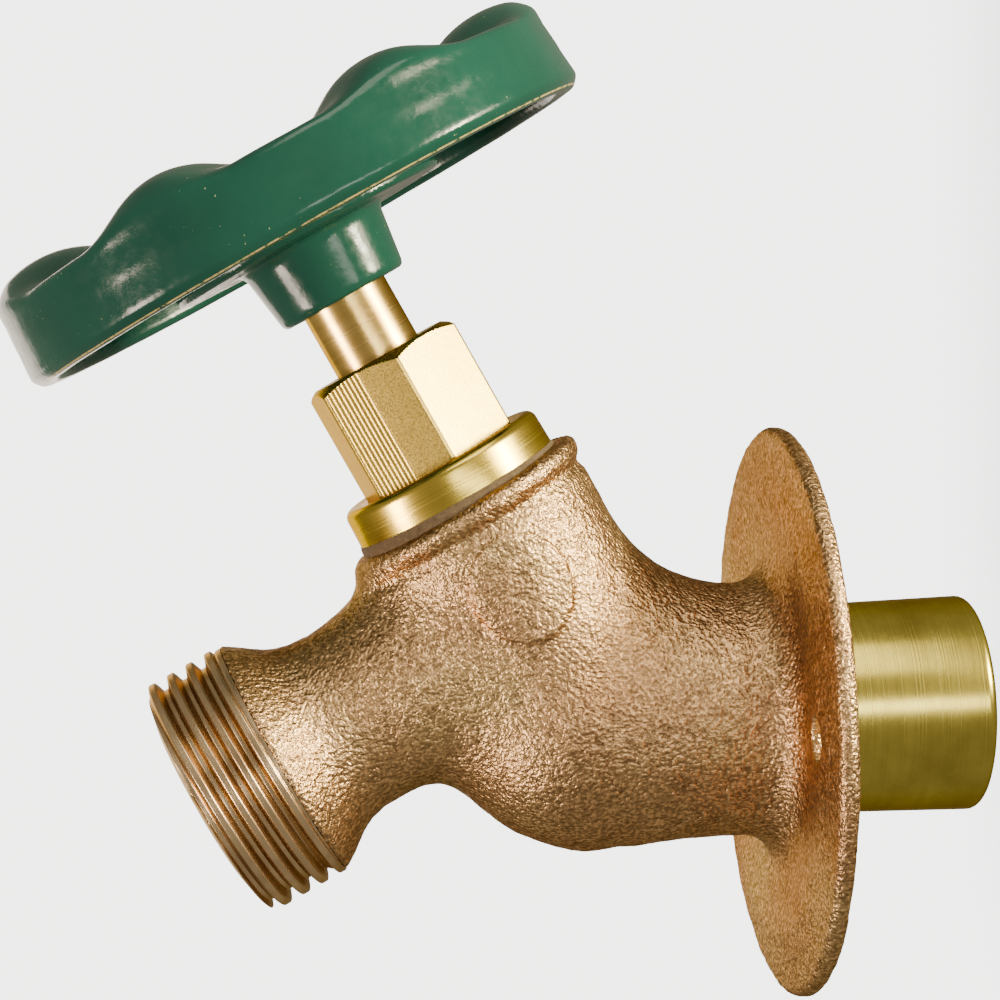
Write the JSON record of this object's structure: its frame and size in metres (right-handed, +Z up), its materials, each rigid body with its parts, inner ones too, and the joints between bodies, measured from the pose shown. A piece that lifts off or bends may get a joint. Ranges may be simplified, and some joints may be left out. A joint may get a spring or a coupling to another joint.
{
  "type": "hose bib",
  "caption": "Angled garden hose bib: cast bronze body with round wall flange, threaded hose outlet, hexagon packing nut and green wheel handle on a rising stem.",
  "frame": {"origin": "centre of the wall flange's back face, on the inlet axis", "axes": "+X into the wall along the inlet tube, +Z up, -Y towards the side shown with the hose end on the left"},
  "size_m": [0.1012, 0.0648, 0.1051],
  "materials": {
    "cast_bronze": "rough sand-cast bronze",
    "tube_brass": "turned",
    "turned_brass": "turned",
    "stem_brass": "polished",
    "fibre": "matt",
    "packing": "graphited",
    "washer_rubber": "matt",
    "green_enamel": "gloss enamel",
    "plated_disc": "satin",
    "screw_steel": "zinc plated"
  },
  "bodies": {
    "valve_body": {"body_casting": "cast_bronze", "inlet_tube": "tube_brass", "bonnet_gasket": "fibre", "bonnet": "turned_brass", "packing_ring_lower": "packing", "packing_ring_upper": "packing", "packing_gland": "turned_brass", "packing_nut": "turned_brass"},
    "washer": {"seat_washer": "washer_rubber"},
    "spindle": {"stem": "stem_brass", "washer_screw": "turned_brass", "handwheel": "green_enamel", "cap_disc": "plated_disc", "handle_screw": "screw_steel"}
  },
  "joints": [
    {"name": "stem_lift", "type": "slide", "parent": "valve_body", "child": "washer", "axis": [-0.4695, 0, 0.8829], "range_m": [0, 0.00571]},
    {"name": "handwheel_turn", "type": "hinge", "parent": "washer", "child": "spindle", "pos_m": [-0.03557, 0, 0.02402], "axis": [-0.4695, 0, 0.8829], "range_deg": [0, 810]}
  ],
  "couplings": [
    {"joint": "stem_lift", "follows": "handwheel_turn", "m_per_rad": 0.00040425}
  ]
}
